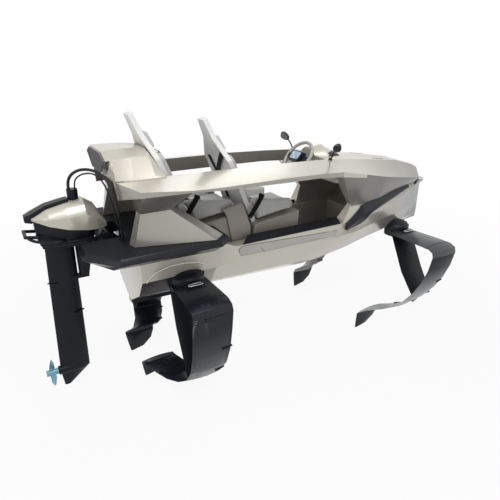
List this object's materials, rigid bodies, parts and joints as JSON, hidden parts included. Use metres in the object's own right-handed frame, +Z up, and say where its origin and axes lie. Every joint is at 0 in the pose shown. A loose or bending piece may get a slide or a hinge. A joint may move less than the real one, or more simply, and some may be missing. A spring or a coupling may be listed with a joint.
{
  "type": "electric hydrofoil boat",
  "caption": "Slim open tandem-seat boat standing on curved hydrofoils, with side rails over open cockpit sides and a tilting, steering electric outboard motor.",
  "frame": {"origin": "centre of the bounding box on the ground under the foil tips", "axes": "+X forward to the bow, +Y to port, +Z up"},
  "size_m": [4.33, 1.854, 2.2501],
  "materials": {
    "battery_case": "satin",
    "champagne_paint": "metallic gloss",
    "dark_trim": "satin",
    "motor_black": "satin",
    "black_grip": "fine grip grain",
    "cable_black": "matt",
    "foil_charcoal": "satin",
    "lock_steel": "brushed",
    "root_black": "moulded",
    "propeller_blue": "gloss",
    "seat_shell_white": "satin",
    "taupe_moulding": "satin moulded",
    "seat_grey_pad": "matt",
    "wheel_grey": "satin"
  },
  "bodies": {
    "root": {"battery_block": "battery_case", "bow_beak": "champagne_paint", "bow_shell": "champagne_paint", "bulkhead": "dark_trim", "clamp_bracket": "motor_black", "cockpit_floor": "black_grip", "control_cable": "cable_black", "dash": "champagne_paint", "foil_arm_front_port": "foil_charcoal", "foil_arm_front_starboard": "foil_charcoal", "foil_arm_rear_port": "foil_charcoal", "foil_arm_rear_starboard": "foil_charcoal", "foil_blade_front_port": "foil_charcoal", "foil_blade_front_starboard": "foil_charcoal", "foil_blade_rear_port": "foil_charcoal", "foil_blade_rear_starboard": "foil_charcoal", "foil_locks": "lock_steel", "foil_roots": "root_black", "foil_strut_front_port": "foil_charcoal", "foil_strut_front_starboard": "foil_charcoal", "foil_strut_rear_port": "foil_charcoal", "foil_strut_rear_starboard": "foil_charcoal", "hull": "champagne_paint", "keel_strip": "dark_trim", "mirror_port": "dark_trim", "mirror_starboard": "dark_trim", "power_cable": "cable_black", "quarter_port": "champagne_paint", "quarter_starboard": "champagne_paint", "rail_port": "champagne_paint", "rail_starboard": "champagne_paint", "seat_back_front": "seat_shell_white", "seat_back_rear": "seat_shell_white", "seat_base_front": "taupe_moulding", "seat_base_rear": "taupe_moulding", "seat_cushion_front": "seat_grey_pad", "seat_cushion_rear": "seat_grey_pad", "side_panel_port": "dark_trim", "side_panel_starboard": "dark_trim", "steering_column": "root_black", "stern_platform": "black_grip", "tail_end_panel": "dark_trim", "tail_fairing": "champagne_paint", "tread_port": "black_grip", "tread_starboard": "black_grip"},
    "swivel": {"swivel_bracket": "motor_black"},
    "outboard": {"cowl": "champagne_paint", "lower_cowl": "motor_black", "rear_cap": "dark_trim", "carry_handle": "motor_black", "leg": "motor_black", "cable_gland": "motor_black"},
    "propeller": {"propeller": "propeller_blue"},
    "wheel": {"steering_wheel": "wheel_grey"}
  },
  "joints": [
    {"name": "outboard_tilt", "type": "hinge", "parent": "root", "child": "swivel", "pos_m": [-1.545, 0, 1.32], "axis": [0, 1, 0], "range_deg": [0, 50], "deforming": ["power_cable", "control_cable"]},
    {"name": "outboard_steer", "type": "hinge", "parent": "swivel", "child": "outboard", "pos_m": [-1.745, 0, 1.14], "axis": [0, 0, 1], "range_deg": [-35, 35], "deforming": ["power_cable", "control_cable"]},
    {"name": "propeller_spin", "type": "hinge", "parent": "outboard", "child": "propeller", "pos_m": [-2.117, 0, 0.165], "axis": [1, 0, 0], "continuous": true},
    {"name": "wheel_turn", "type": "hinge", "parent": "root", "child": "wheel", "pos_m": [0.353, 0, 1.744], "axis": [0.766, 0, -0.6428], "range_deg": [-140, 140]}
  ],
  "couplings": [
    {"joint": "wheel_turn", "follows": "outboard_steer", "ratio": 4}
  ]
}
